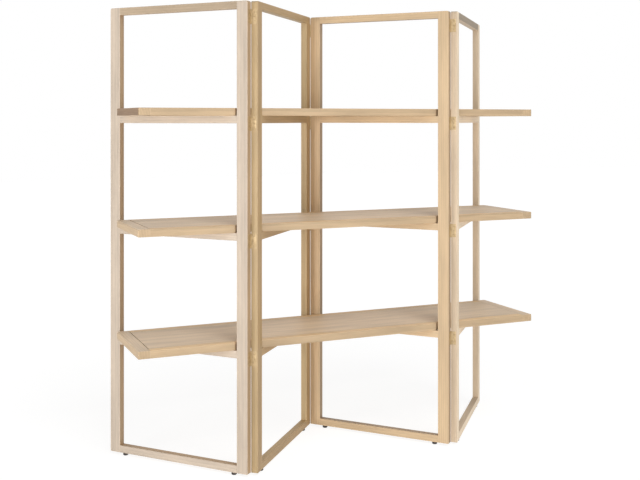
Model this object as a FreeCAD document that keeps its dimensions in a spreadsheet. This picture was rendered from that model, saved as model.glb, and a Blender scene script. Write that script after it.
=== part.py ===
import FreeCAD, Part
import os
import re
import Sketcher

# Folding etagere: four wooden frames hinged edge to edge like a screen, and three long
# shelves threaded through their openings. X runs along the shelves, Y runs to the back,
# Z is up, and the origin is on the floor under the middle of the zigzag.

# Driving dimensions in millimetres, and angles in degrees
SIZES = [
    ("overall_height", 1980, "floor to the top of the frames"),
    ("frame_width", 698.2, "one frame, over both posts"),
    ("frame_thickness", 29, "posts and rails alike"),
    ("post_width", 51.5, "post, across the face of the frame"),
    ("rail_height", 32, "every rail, seen from the front"),
    ("top_corner", 8, "rounding of a frame's two upper corners"),
    ("bottom_corner", 4, "rounding of a frame's two lower corners"),
    ("frame_arris", 1, "rounding of the long edges of posts and rails"),
    ("tenon_length", 30, "rail tenon in its post"),
    ("tenon_thickness", 10, "rail tenon, across the frame's thickness"),
    ("tenon_height", 22, "rail tenon, upright"),
    ("glue_room", 0.1, "room round a tenon or tongue on each side"),
    ("rest_angle", 48.8, "each frame, turned from the shelves' length as it stands"),
    ("glide_height", 12, "floor to the underside of the frames"),
    ("glide_radius", 11.5, "round glide under the bottom rail"),
    ("glide_bevel", 2.5, "bevel round the bottom of a glide"),
    ("glide_inset", 72, "frame's end to the middle of its glide"),
    ("glide_stem_radius", 3, "nail of a glide, driven up into the rail"),
    ("glide_stem_length", 18, "nail of a glide above its head"),
    ("stem_room", 0.1, "room round a glide's nail and above it"),
    ("hinge_height", 60, "each butt hinge"),
    ("hinge_gap", 0.4, "between two hinged posts where their inner faces meet the pin line"),
    ("pin_stand_off", 0.4, "pin line in front of the inner faces of the frames"),
    ("leaf_thickness", 2, "hinge leaf, let in flush with the post's edge"),
    ("leaf_width", 23, "hinge leaf across the post's edge, from the inner face"),
    ("leaf_room", 0.1, "room round a leaf in its recess"),
    ("knuckle_radius", 2.4, "outside of the rolled knuckles"),
    ("pin_radius", 1.1, "hinge pin"),
    ("pin_room", 0.05, "running room between pin and knuckles"),
    ("knuckle_room", 0.3, "room between two knuckles"),
    ("knuckle_setback", 2.3, "edge of the leaf behind the inner face beside the other leaf's knuckles"),
    ("pin_head_radius", 1.8, "domed head at each end of a pin"),
    ("pin_head_height", 1.2, "head of a pin beyond the knuckles"),
    ("hinge_drop", 3, "shelf level down to the top of the hinge under it"),
    ("screw_radius", 1.7, "hinge screw's shank"),
    ("screw_head_radius", 3.4, "hinge screw's countersunk head"),
    ("screw_head_depth", 1.8, "hinge screw's countersunk head"),
    ("screw_length", 18, "hinge screw, over all"),
    ("screw_room", 0.1, "room round a screw"),
    ("screw_inset", 12, "hinge's end to its first screw"),
    ("shelf_spacing", 490, "one shelf to the next"),
    ("shelf_length", 1900, "each shelf"),
    ("shelf_depth", 408, "each shelf, front to back"),
    ("shelf_thickness", 32, "border of a shelf"),
    ("shelf_back_room", 66.4, "middle pin line to the back edge of the shelves"),
    ("end_border_width", 50, "border across each end of a shelf"),
    ("long_border_width", 36, "border along the front and the back of a shelf"),
    ("panel_thickness", 22, "inner panel of a shelf, flush with the border's top"),
    ("panel_line", 1.5, "fine open line round the inner panel"),
    ("tongue_length", 9, "tongue round the panel, and stub tenon on the long borders"),
    ("tongue_thickness", 8, "tongue round the panel"),
    ("tongue_level", 12, "underside of a shelf to the underside of its tongues"),
    ("groove_stop", 10, "groove of an end border stops this far from its ends"),
    ("shelf_corner", 4, "rounding of a shelf's upright corners"),
    ("shelf_arris", 2.5, "rounding of a shelf's upper and lower edges"),
    ("notch_width", 108, "recess in a shelf's front edge for a hinged pair of posts"),
    ("notch_depth", 15, "the same recess, front to back"),
    ("notch_corner", 5, "rounding of the recess's corners"),
]

SCREWS_PER_LEAF = 3
KNUCKLES_PER_HINGE = 5
FRAME_COUNT = 4
SHELF_NAMES = ["bottom", "middle", "top"]

document = FreeCAD.newDocument("FoldingEtagere")
sheet = document.addObject("Spreadsheet::Sheet", "Sizes")
for row, (alias, value, meaning) in enumerate(SIZES, start=1):
    sheet.set("A%d" % row, str(value))
    sheet.set("B%d" % row, meaning)
    sheet.setAlias("A%d" % row, alias)
document.recompute()

ALIASES = [alias for alias, value, meaning in SIZES]
UPRIGHT = FreeCAD.Vector(0, 0, 1)


def bound(text):
    """Write a formula of plain size names as one that reads the sheet."""
    return re.sub(r"[a-z_]+", lambda found: ("Sizes." if found[0] in ALIASES else "") + found[0], text)


def number(text):
    """Work a formula of plain size names out with the sheet's present values."""
    return float(sheet.evalExpression(text))


# Places that follow from the sizes

CENTRE = "frame_width / 2"
PITCH = "( frame_width + hinge_gap )"
STEP_ACROSS = "( frame_thickness + 2 * pin_stand_off )"
RUN = "( %s * cos(rest_angle) + %s * sin(rest_angle) )" % (PITCH, STEP_ACROSS)
REACH = "( %s * sin(rest_angle) - %s * cos(rest_angle) )" % (PITCH, STEP_ACROSS)

FRAME_TOP = "overall_height"
FRAME_HEIGHT = "( overall_height - glide_height )"
MIDDLE_LEVEL = "( ( overall_height + glide_height + rail_height ) / 2 )"
SHELF_LEVELS = {
    "bottom": "( %s - shelf_spacing )" % MIDDLE_LEVEL,
    "middle": MIDDLE_LEVEL,
    "top": "( %s + shelf_spacing )" % MIDDLE_LEVEL,
}
RAIL_TOPS = {
    "bottom_rail": "( glide_height + rail_height )",
    "lower_shelf_rail": SHELF_LEVELS["bottom"],
    "middle_shelf_rail": SHELF_LEVELS["middle"],
    "upper_shelf_rail": SHELF_LEVELS["top"],
    "top_rail": FRAME_TOP,
}
HINGE_TOPS = [
    "( %s - hinge_drop )" % SHELF_LEVELS["bottom"],
    "( %s - hinge_drop )" % SHELF_LEVELS["middle"],
    "( %s - hinge_drop )" % SHELF_LEVELS["top"],
    "( overall_height - rail_height - hinge_drop )",
]
FRAME_ANGLES = ["- rest_angle", "rest_angle", "- rest_angle", "rest_angle"]
PIN_LINES = {
    "left": ("- %s" % RUN, "- %s / 2" % REACH),
    "centre": ("0", "%s / 2" % REACH),
    "right": (RUN, "- %s / 2" % REACH),
}


def turned(x_text, y_text, angle_text):
    """Formulas of a flat vector's X and Y after a turn about the upright."""
    x_turned = "( %s ) * cos(%s) - ( %s ) * sin(%s)" % (x_text, angle_text, y_text, angle_text)
    y_turned = "( %s ) * sin(%s) + ( %s ) * cos(%s)" % (x_text, angle_text, y_text, angle_text)
    return x_turned, y_turned


# Each frame's own origin is the front lower corner at its left end, at floor level.
# It is given from the nearest pin line: the frame's own X and Y of that pin line.
PIN_BEHIND = "( frame_thickness + pin_stand_off )"
PIN_BEFORE = "( - pin_stand_off )"
FRAME_HANGS = [
    ("left", "( frame_width + hinge_gap / 2 )", PIN_BEHIND),
    ("left", "( - hinge_gap / 2 )", PIN_BEHIND),
    ("centre", "( - hinge_gap / 2 )", PIN_BEFORE),
    ("right", "( - hinge_gap / 2 )", PIN_BEHIND),
]


def place(thing, x_text, y_text, z_text="0", angle_text="0"):
    """Bind an object's Placement: a turn about the upright, then a shift."""
    thing.Placement = FreeCAD.Placement(FreeCAD.Vector(), FreeCAD.Rotation(UPRIGHT, 0))
    for axis, text in zip("xyz", (x_text, y_text, z_text)):
        thing.setExpression("Placement.Base." + axis, bound(text) + " + 0")
    if angle_text != "0":
        thing.Placement = FreeCAD.Placement(
            FreeCAD.Vector(), FreeCAD.Rotation(UPRIGHT, number(angle_text)))
        thing.setExpression("Placement.Rotation.Angle", bound(angle_text) + " + 0")


def frame_place(frame):
    """X, Y and angle formulas of a frame's own origin in the object."""
    line, pin_x, pin_y = FRAME_HANGS[frame]
    angle = FRAME_ANGLES[frame]
    shift_x, shift_y = turned(pin_x, pin_y, angle)
    line_x, line_y = PIN_LINES[line]
    return "( %s ) - ( %s )" % (line_x, shift_x), "( %s ) - ( %s )" % (line_y, shift_y), angle


# Modelling helpers

def new_body(label):
    body = document.addObject("PartDesign::Body", label)
    body.Label = label
    return body


def plane_of(body, role):
    return [plane for plane in body.Origin.OriginFeatures if plane.Role == role][0]


def new_sketch(body, name, role, offset):
    """A sketch on one of the body's own planes, moved by bound offsets in the plane's axes."""
    sketch = body.newObject("Sketcher::SketchObject", name)
    sketch.AttachmentSupport = (plane_of(body, role), [""])
    sketch.MapMode = "FlatFace"
    for axis, text in zip("xyz", offset):
        if text != "0":
            sketch.setExpression("AttachmentOffset.Base." + axis, bound(text))
    return sketch


def pin_point(sketch, geometry, vertex, x_text, y_text):
    """Hold one vertex of a sketch at bound distances from the sketch's origin."""
    for text, kind, axis in ((x_text, "DistanceX", -2), (y_text, "DistanceY", -1)):
        if text == "0":
            sketch.addConstraint(Sketcher.Constraint("PointOnObject", geometry, vertex, axis))
            continue
        index = sketch.addConstraint(
            Sketcher.Constraint(kind, -1, 1, geometry, vertex, number(text)))
        sketch.setExpression("Constraints[%d]" % index, bound(text))


def outline(body, name, points, role="XY_Plane", offset=("0", "0", "0")):
    """A closed outline of straight lines through points given as pairs of formulas."""
    sketch = new_sketch(body, name, role, offset)
    corners = [FreeCAD.Vector(number(x_text), number(y_text), 0) for x_text, y_text in points]
    count = len(corners)
    for index in range(count):
        sketch.addGeometry(Part.LineSegment(corners[index], corners[(index + 1) % count]), False)
    for index in range(count):
        following = (index + 1) % count
        sketch.addConstraint(Sketcher.Constraint("Coincident", index, 2, following, 1))
    for index, (x_text, y_text) in enumerate(points):
        pin_point(sketch, index, 1, x_text, y_text)
    return sketch


def circles(body, name, radius, centres, role="XY_Plane", offset=("0", "0", "0")):
    """Circles of one bound radius at centres given as pairs of formulas."""
    sketch = new_sketch(body, name, role, offset)
    for index, (x_text, y_text) in enumerate(centres):
        middle = FreeCAD.Vector(number(x_text), number(y_text), 0)
        sketch.addGeometry(Part.Circle(middle, UPRIGHT, number(radius)), False)
        pin_point(sketch, index, 3, x_text, y_text)
        held = sketch.addConstraint(Sketcher.Constraint("Radius", index, number(radius)))
        sketch.setExpression("Constraints[%d]" % held, bound(radius))
    return sketch


def box_points(x_low, x_high, y_low, y_high):
    return [(x_low, y_low), (x_high, y_low), (x_high, y_high), (x_low, y_high)]


def pad(body, name, sketch, length, backwards=False):
    feature = body.newObject("PartDesign::Pad", name)
    feature.Profile = sketch
    feature.setExpression("Length", bound(length))
    feature.Reversed = backwards
    return feature


def pocket(body, name, sketch, length, backwards=False):
    feature = body.newObject("PartDesign::Pocket", name)
    feature.Profile = sketch
    feature.setExpression("Length", bound(length))
    feature.Reversed = backwards
    return feature


def pad_block(body, name, plan, low, height):
    """A block with a plan outline, from a height formula upwards."""
    sketch = outline(body, name + "_plan", plan, offset=("0", "0", low))
    return pad(body, name, sketch, height)


def cut_block(body, name, plan, low, height):
    """The same block, cut away."""
    sketch = outline(body, name + "_plan", plan, offset=("0", "0", low))
    return pocket(body, name, sketch, height, backwards=True)


def round_edges(body, name, radius, chosen):
    """Fillet the edges of the body's last feature that a test picks."""
    document.recompute()
    base = body.Tip
    names = ["Edge%d" % index for index, edge in enumerate(base.Shape.Edges, start=1) if chosen(edge)]
    feature = body.newObject("PartDesign::Fillet", name)
    feature.Base = (base, names)
    feature.setExpression("Radius", bound(radius))
    return feature


NEAR = 1e-4


def both_ends(edge, test):
    return all(test(vertex.Point) for vertex in edge.Vertexes)


def is_level(edge, height):
    return both_ends(edge, lambda point: abs(point.z - height) < NEAR)


def is_upright(edge):
    start, end = edge.Vertexes[0].Point, edge.Vertexes[-1].Point
    return abs(start.x - end.x) < NEAR and abs(start.y - end.y) < NEAR


# The frames

def hinge_sides(frame):
    """Which ends of a frame are hinged, and whether that pin line is in front of it."""
    sides = {
        0: [("right", "behind")],
        1: [("left", "behind"), ("right", "before")],
        2: [("left", "before"), ("right", "behind")],
        3: [("left", "behind")],
    }
    return sides[frame]


def leaf_span(where):
    """Depth formulas, in the frame's thickness, of the edge recess for a hinge leaf."""
    if where == "behind":
        return "( frame_thickness - leaf_width - leaf_room )", "( frame_thickness + knuckle_radius )"
    return "( - knuckle_radius )", "( leaf_width + leaf_room )"


def knuckle_span(where):
    """Depth formulas, in the frame's thickness, of the deeper recess round the knuckles and pin heads."""
    if where == "behind":
        return "( frame_thickness - knuckle_radius )", "( frame_thickness + knuckle_radius )"
    return "( - knuckle_radius )", "knuckle_radius"


def screw_depth(where):
    """Middle of the leaf's screws across the frame's thickness."""
    middle = "( leaf_width + knuckle_setback ) / 2"
    return "frame_thickness - " + middle if where == "behind" else middle


def screw_heights(top):
    """Heights of one hinge's screws below its top."""
    spread = "( hinge_height - 2 * screw_inset ) / %d" % (SCREWS_PER_LEAF - 1)
    return ["( %s - screw_inset - %d * %s )" % (top, index, spread) for index in range(SCREWS_PER_LEAF)]


def make_post(frame, side):
    label = "frame_%d_%s_post" % (frame + 1, side)
    body = new_body(label)
    x_low, x_high = ("0", "post_width") if side == "left" else ("frame_width - post_width", "frame_width")
    plan = box_points(x_low, x_high, "0", "frame_thickness")
    pad_block(body, "stock", plan, "glide_height", FRAME_HEIGHT)

    outer_x = number(x_low if side == "left" else x_high)
    top, bottom = number(FRAME_TOP), number("glide_height")

    def outer_corner(height):
        return lambda edge: is_level(edge, height) and both_ends(
            edge, lambda point: abs(point.x - outer_x) < NEAR)

    round_edges(body, "upper_corner", "top_corner", outer_corner(top))
    round_edges(body, "lower_corner", "bottom_corner", outer_corner(bottom))
    faces = (0, number("frame_thickness"))
    round_edges(body, "arrises", "frame_arris", lambda edge: any(
        both_ends(edge, lambda point: abs(point.y - face) < NEAR) for face in faces))

    tenon_low = "( frame_thickness - tenon_thickness ) / 2 - glue_room"
    tenon_high = "( frame_thickness + tenon_thickness ) / 2 + glue_room"
    mouth = ("post_width - tenon_length - glue_room", "post_width + frame_arris") if side == "left" else (
        "frame_width - post_width - frame_arris", "frame_width - post_width + tenon_length + glue_room")
    for rail, rail_top in RAIL_TOPS.items():
        low = "%s - ( rail_height + tenon_height ) / 2 - glue_room" % rail_top
        cut_block(body, rail + "_mortise", box_points(*mouth, tenon_low, tenon_high),
                  low, "tenon_height + 2 * glue_room")

    for hinged, where in hinge_sides(frame):
        if hinged == side:
            cut_hinge_seats(body, side, where)
    finish_frame_piece(body, frame)


def cut_hinge_seats(body, side, where):
    """Recesses for the leaves and knuckles in the post's outer edge, and pilot holes for their screws."""
    if side == "left":
        seat, knuckles = (("- frame_arris", depth) for depth in ("leaf_thickness", "knuckle_radius"))
    else:
        seat, knuckles = (
            ("frame_width - " + depth, "frame_width + frame_arris")
            for depth in ("leaf_thickness", "knuckle_radius"))
    pin_end = "( knuckle_room + pin_head_height + leaf_room )"
    centres = []
    for index, top in enumerate(HINGE_TOPS):
        low = "%s - hinge_height - leaf_room" % top
        cut_block(body, "hinge_seat_%d" % (index + 1), box_points(*seat, *leaf_span(where)),
                  low, "hinge_height + 2 * leaf_room")
        cut_block(body, "knuckle_recess_%d" % (index + 1), box_points(*knuckles, *knuckle_span(where)),
                  "%s - hinge_height - %s" % (top, pin_end), "hinge_height + 2 * " + pin_end)
        centres += [(screw_depth(where), height) for height in screw_heights(top)]
    edge = "0" if side == "left" else "frame_width"
    holes = circles(body, "pilot_holes_plan", "screw_radius + screw_room", centres,
                    role="YZ_Plane", offset=("0", "0", edge))
    pocket(body, "pilot_holes", holes, "screw_length + screw_room", backwards=(side == "left"))


def make_rail(frame, rail):
    body = new_body("frame_%d_%s" % (frame + 1, rail))
    low = "%s - rail_height" % RAIL_TOPS[rail]
    inner = ("post_width", "frame_width - post_width")
    pad_block(body, "stock", box_points(*inner, "0", "frame_thickness"), low, "rail_height")
    levels = (number(low), number(RAIL_TOPS[rail]))
    length = number("frame_width - 2 * post_width")
    round_edges(body, "arrises", "frame_arris", lambda edge: abs(edge.Length - length) < NEAR)

    tenon_plan = box_points("post_width - tenon_length", "frame_width - post_width + tenon_length",
                            "( frame_thickness - tenon_thickness ) / 2",
                            "( frame_thickness + tenon_thickness ) / 2")
    pad_block(body, "tenons", tenon_plan, "%s - ( rail_height + tenon_height ) / 2" % RAIL_TOPS[rail],
              "tenon_height")
    if rail == "bottom_rail":
        centres = [(inset, "frame_thickness / 2") for inset in GLIDE_PLACES]
        holes = circles(body, "glide_holes_plan", "glide_stem_radius + stem_room", centres,
                        offset=("0", "0", "glide_height"))
        pocket(body, "glide_holes", holes, "glide_stem_length + stem_room", backwards=True)
    finish_frame_piece(body, frame)


GLIDE_PLACES = ["glide_inset", "frame_width - glide_inset"]


def finish_frame_piece(body, frame):
    x_text, y_text, angle = frame_place(frame)
    place(body, x_text, y_text, "0", angle)
    pieces.append(body)


# The shelves, each with its origin under the middle of its front edge

HALF_LENGTH = "shelf_length / 2"
NOTCH_LEFT = "- %s - notch_width / 2" % RUN
NOTCH_RIGHT = "- %s + notch_width / 2" % RUN
PANEL_TOP = "shelf_thickness"
SHELF_FRONT = "%s / 2 - shelf_back_room - shelf_depth" % REACH


def finish_shelf_piece(body, shelf):
    place(body, "0", SHELF_FRONT, SHELF_LEVELS[shelf])
    pieces.append(body)


def cut_groove(body, name, plan):
    cut_block(body, name, plan, "tongue_level - glue_room", "tongue_thickness + 2 * glue_room")


def soften_outside(body, outside):
    """Round the upper and lower edges that a test of their points says are on the outside."""
    top = number("shelf_thickness")
    round_edges(body, "arrises", "shelf_arris", lambda edge: (
        is_level(edge, 0) or is_level(edge, top)) and both_ends(edge, outside))


def make_end_border(shelf, side):
    body = new_body("%s_shelf_%s_end" % (shelf, side))
    sign = "- " if side == "left" else ""
    outer = "%s%s" % (sign, HALF_LENGTH)
    inner = "%s( %s - end_border_width )" % (sign, HALF_LENGTH)
    low, high = (outer, inner) if side == "left" else (inner, outer)
    pad_block(body, "stock", box_points(low, high, "0", "shelf_depth"), "0", "shelf_thickness")
    outer_x, inner_x = number(outer), number(inner)
    round_edges(body, "corners", "shelf_corner", lambda edge: is_upright(edge) and both_ends(
        edge, lambda point: abs(point.x - outer_x) < NEAR))
    depth = number("shelf_depth")
    soften_outside(body, lambda point: abs(point.x - inner_x) > NEAR or (
        abs(point.y) < NEAR or abs(point.y - depth) < NEAR))
    groove = "%s( %s - end_border_width + tongue_length + glue_room )" % (sign, HALF_LENGTH)
    mouth = "%s( %s - end_border_width - panel_line )" % (sign, HALF_LENGTH)
    low, high = (groove, mouth) if side == "left" else (mouth, groove)
    cut_groove(body, "groove", box_points(low, high, "groove_stop", "shelf_depth - groove_stop"))
    finish_shelf_piece(body, shelf)


def make_long_border(shelf, side):
    """Front or back border between the two ends. The front one is notched for the hinged posts."""
    body = new_body("%s_shelf_%s_border" % (shelf, side))
    left = "end_border_width - %s" % HALF_LENGTH
    right = "%s - end_border_width" % HALF_LENGTH
    if side == "front":
        outer, inner = "0", "long_border_width"
        plan = [(left, outer)]
        for low, high in ((NOTCH_LEFT, NOTCH_RIGHT),
                          ("%s - notch_width / 2" % RUN, "%s + notch_width / 2" % RUN)):
            plan += [(low, outer), (low, "notch_depth"), (high, "notch_depth"), (high, outer)]
        plan += [(right, outer), (right, inner), (left, inner)]
    else:
        outer, inner = "shelf_depth", "shelf_depth - long_border_width"
        plan = box_points(left, right, inner, outer)
    pad_block(body, "stock", plan, "0", "shelf_thickness")
    end_x = number(right)
    inner_y = number(inner)
    if side == "front":
        round_edges(body, "notch_corners", "notch_corner", lambda edge: is_upright(edge) and both_ends(
            edge, lambda point: abs(point.x) < end_x - NEAR))
    soften_outside(body, lambda point: abs(point.y - inner_y) > NEAR)

    groove = {"front": "long_border_width - tongue_length - glue_room",
              "back": "shelf_depth - long_border_width + tongue_length + glue_room"}[side]
    mouth = {"front": "long_border_width + panel_line", "back": "shelf_depth - long_border_width - panel_line"}[side]
    low, high = (groove, mouth) if side == "front" else (mouth, groove)
    cut_groove(body, "groove", box_points(left, right, low, high))

    stub = {"front": ("groove_stop + glue_room", "long_border_width - tongue_length - glue_room"),
            "back": ("shelf_depth - long_border_width + tongue_length + glue_room",
                     "shelf_depth - groove_stop - glue_room")}[side]
    for end, root in (("left", left), ("right", right)):
        stub_plan = box_points("%s - tongue_length" % root, "%s + tongue_length" % root, *stub)
        pad_block(body, end + "_stub_tenon", stub_plan, "tongue_level", "tongue_thickness")
    finish_shelf_piece(body, shelf)


def make_panel(shelf):
    body = new_body("%s_shelf_panel" % shelf)
    half = "( %s - end_border_width - panel_line )" % HALF_LENGTH
    front, back = "long_border_width + panel_line", "shelf_depth - long_border_width - panel_line"
    pad_block(body, "field", box_points("- " + half, half, front, back),
              "shelf_thickness - panel_thickness", "panel_thickness")
    reach = "panel_line + tongue_length"
    wide = "( %s - end_border_width + tongue_length )" % HALF_LENGTH
    pad_block(body, "tongues", box_points("- " + wide, wide, "%s - ( %s )" % (front, reach), "%s + %s" % (back, reach)),
              "tongue_level", "tongue_thickness")
    finish_shelf_piece(body, shelf)


# Patterns for the pieces that come in groups. They stay in the document as templates.

def turned_body(label, profile):
    """A body revolved about the upright from a half profile of radius and height formulas."""
    body = new_body(label)
    sketch = outline(body, "half_profile", profile, role="XZ_Plane")
    feature = body.newObject("PartDesign::Revolution", "turned")
    feature.Profile = sketch
    feature.ReferenceAxis = (sketch, ["V_Axis"])
    feature.Angle = 360
    return body


def make_glide_pattern():
    return turned_body("glide_pattern", [
        ("0", "0"),
        ("glide_radius - glide_bevel", "0"),
        ("glide_radius", "glide_bevel"),
        ("glide_radius", "glide_height"),
        ("glide_stem_radius", "glide_height"),
        ("glide_stem_radius", "glide_height + glide_stem_length"),
        ("0", "glide_height + glide_stem_length"),
    ])


def make_pin_pattern():
    """A hinge pin, standing on the underside of its hinge, with a head at each end."""
    return turned_body("pin_pattern", [
        ("0", "- pin_head_height - knuckle_room"),
        ("pin_head_radius - pin_head_height / 2", "- pin_head_height - knuckle_room"),
        ("pin_head_radius", "- pin_head_height / 2 - knuckle_room"),
        ("pin_head_radius", "- knuckle_room"),
        ("pin_radius", "- knuckle_room"),
        ("pin_radius", "hinge_height + knuckle_room"),
        ("pin_head_radius", "hinge_height + knuckle_room"),
        ("pin_head_radius", "hinge_height + knuckle_room + pin_head_height / 2"),
        ("pin_head_radius - pin_head_height / 2", "hinge_height + knuckle_room + pin_head_height"),
        ("0", "hinge_height + knuckle_room + pin_head_height"),
    ])


def make_screw_pattern():
    """A countersunk wood screw, with its head's flat top at the origin and pointing down."""
    return turned_body("screw_pattern", [
        ("0", "0"),
        ("screw_head_radius", "0"),
        ("screw_radius", "- screw_head_depth"),
        ("screw_radius", "screw_head_radius - screw_length"),
        ("0", "- screw_length"),
    ])


def make_leaf_pattern(side):
    """A hinge leaf about its own pin line: the left leaf's post lies towards -X and -Y."""
    body = new_body("%s_leaf_pattern" % side)
    sign = "- " if side == "left" else ""
    face = "%s( hinge_gap / 2 )" % sign
    back = "%s( hinge_gap / 2 + leaf_thickness )" % sign
    x_range = (back, face) if side == "left" else (face, back)
    far = "- ( pin_stand_off + leaf_width )"
    pad_block(body, "plate", box_points(*x_range, far, "- ( pin_stand_off + knuckle_setback )"),
              "0", "hinge_height")
    knuckle = "( hinge_height / %d )" % KNUCKLES_PER_HINGE
    own = range(0 if side == "left" else 1, KNUCKLES_PER_HINGE, 2)
    for index in own:
        low = "%d * %s + knuckle_room / 2" % (index, knuckle)
        high = "%s - knuckle_room" % knuckle
        pad_block(body, "strap_%d" % index,
                  box_points(*x_range, "- ( pin_stand_off + knuckle_setback )", "- pin_radius"), low, high)
        ring = circles(body, "knuckle_%d_plan" % index, "knuckle_radius", [("0", "0")],
                       offset=("0", "0", low))
        pad(body, "knuckle_%d" % index, ring, high)
    bore = circles(body, "bore_plan", "pin_radius + pin_room", [("0", "0")])
    pocket(body, "bore", bore, "hinge_height", backwards=True)

    for index, height in enumerate(screw_heights("hinge_height")):
        cone = body.newObject("PartDesign::SubtractiveCone", "countersink_%d" % index)
        cone.setExpression("Radius1", bound("screw_radius + screw_room"))
        cone.setExpression("Radius2", bound("screw_head_radius + screw_room"))
        cone.setExpression("Height", bound("leaf_thickness"))
        axis = FreeCAD.Vector(1, 0, 0) if side == "left" else FreeCAD.Vector(-1, 0, 0)
        cone.Placement = FreeCAD.Placement(FreeCAD.Vector(), FreeCAD.Rotation(UPRIGHT, axis))
        cone.setExpression("Placement.Base.x", bound(back))
        cone.setExpression("Placement.Base.y", bound(SCREW_ROW))
        cone.setExpression("Placement.Base.z", bound(height))
    return body


SCREW_ROW = "- ( pin_stand_off + ( leaf_width + knuckle_setback ) / 2 )"


# Groups of identical pieces, copied from the patterns

def group(label, copies):
    """One sub-part made of separate solids: pairs of a pattern body and a placement."""
    solids = []
    for pattern, placement in copies:
        solid = pattern.Shape.copy()
        solid.Placement = placement.multiply(pattern.Shape.Placement)
        solids.append(solid)
    feature = document.addObject("Part::Feature", label)
    feature.Label = label
    feature.Shape = Part.makeCompound(solids)
    feature.Placement = FreeCAD.Placement()
    pieces.append(feature)


def upright_turn(x_value, y_value, z_value, angle):
    return FreeCAD.Placement(FreeCAD.Vector(x_value, y_value, z_value), FreeCAD.Rotation(UPRIGHT, angle))


def make_glides(frame):
    x_text, y_text, angle = frame_place(frame)
    frame_at = upright_turn(number(x_text), number(y_text), 0, number(angle))
    copies = []
    for inset in GLIDE_PLACES:
        own = FreeCAD.Placement(FreeCAD.Vector(number(inset), number("frame_thickness / 2"), 0), FreeCAD.Rotation())
        copies.append((patterns["glide"], frame_at.multiply(own)))
    group("frame_%d_glides" % (frame + 1), copies)


def leaf_turn(line, side):
    """Which pattern a leaf of a pin line is cut from, and its turn in the object."""
    frame = {"left": 0, "centre": 1, "right": 2}[line] + (0 if side == "left" else 1)
    angle = number(FRAME_ANGLES[frame])
    if line == "centre":
        return ("right" if side == "left" else "left"), angle + 180
    return side, angle


def hinge_bottoms():
    return [number("%s - hinge_height" % top) for top in HINGE_TOPS]


def make_hinge_line(line):
    x_value, y_value = (number(text) for text in PIN_LINES[line])
    for side in ("left", "right"):
        pattern, angle = leaf_turn(line, side)
        group("%s_hinge_%s_leaves" % (line, side), [
            (patterns[pattern + "_leaf"], upright_turn(x_value, y_value, bottom, angle))
            for bottom in hinge_bottoms()])
    group("%s_hinge_pins" % line, [
        (patterns["pin"], upright_turn(x_value, y_value, bottom, 0)) for bottom in hinge_bottoms()])


def make_hinge_screws(frame):
    lines = {0: [("left", "left")], 1: [("left", "right"), ("centre", "left")],
             2: [("centre", "right"), ("right", "left")], 3: [("right", "right")]}[frame]
    copies = []
    for line, side in lines:
        x_value, y_value = (number(text) for text in PIN_LINES[line])
        pattern, angle = leaf_turn(line, side)
        sign = -1 if pattern == "left" else 1
        outwards = FreeCAD.Vector(-sign, 0, 0)
        lying = FreeCAD.Rotation(UPRIGHT, outwards)
        for bottom in hinge_bottoms():
            line_at = upright_turn(x_value, y_value, bottom, angle)
            for height in screw_heights("hinge_height"):
                seat = FreeCAD.Vector(sign * number("hinge_gap / 2"), number(SCREW_ROW), number(height))
                copies.append((patterns["screw"], line_at.multiply(FreeCAD.Placement(seat, lying))))
    group("frame_%d_hinge_screws" % (frame + 1), copies)


# Build everything

pieces = []
patterns = {
    "glide": make_glide_pattern(),
    "pin": make_pin_pattern(),
    "screw": make_screw_pattern(),
    "left_leaf": make_leaf_pattern("left"),
    "right_leaf": make_leaf_pattern("right"),
}
document.recompute()

for frame in range(FRAME_COUNT):
    for side in ("left", "right"):
        make_post(frame, side)
    for rail in RAIL_TOPS:
        make_rail(frame, rail)
    make_glides(frame)
    make_hinge_screws(frame)

for line in PIN_LINES:
    make_hinge_line(line)

for shelf in SHELF_NAMES:
    for side in ("left", "right"):
        make_end_border(shelf, side)
    for side in ("front", "back"):
        make_long_border(shelf, side)
    make_panel(shelf)

document.recompute()

# Check the document before anything is written

for thing in document.Objects:
    faults = [word for word in thing.State if word in ("Invalid", "Error")]
    if faults:
        raise RuntimeError("%s is %s" % (thing.Name, ", ".join(faults)))

os.makedirs("parts", exist_ok=True)
for piece in pieces:
    shape = piece.Shape
    if shape.isNull() or not shape.isValid():
        raise RuntimeError("%s has no valid shape" % piece.Label)
    shape.exportStep("parts/%s.step" % piece.Label)

print("%d sub-parts, %d solids" % (len(pieces), sum(len(piece.Shape.Solids) for piece in pieces)))
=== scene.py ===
"""Looks of a folding etagere: four hinged maple frames that carry three long shelves.

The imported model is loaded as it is. Its boards, hinges and glides keep their meshes and get
detailed materials, the hinge screws are modelled anew, and a plain white stage is put round them.
Lengths are in metres unless a name says otherwise.
"""

import math

import bmesh
import bpy
from mathutils import Euler, Matrix, Vector


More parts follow.
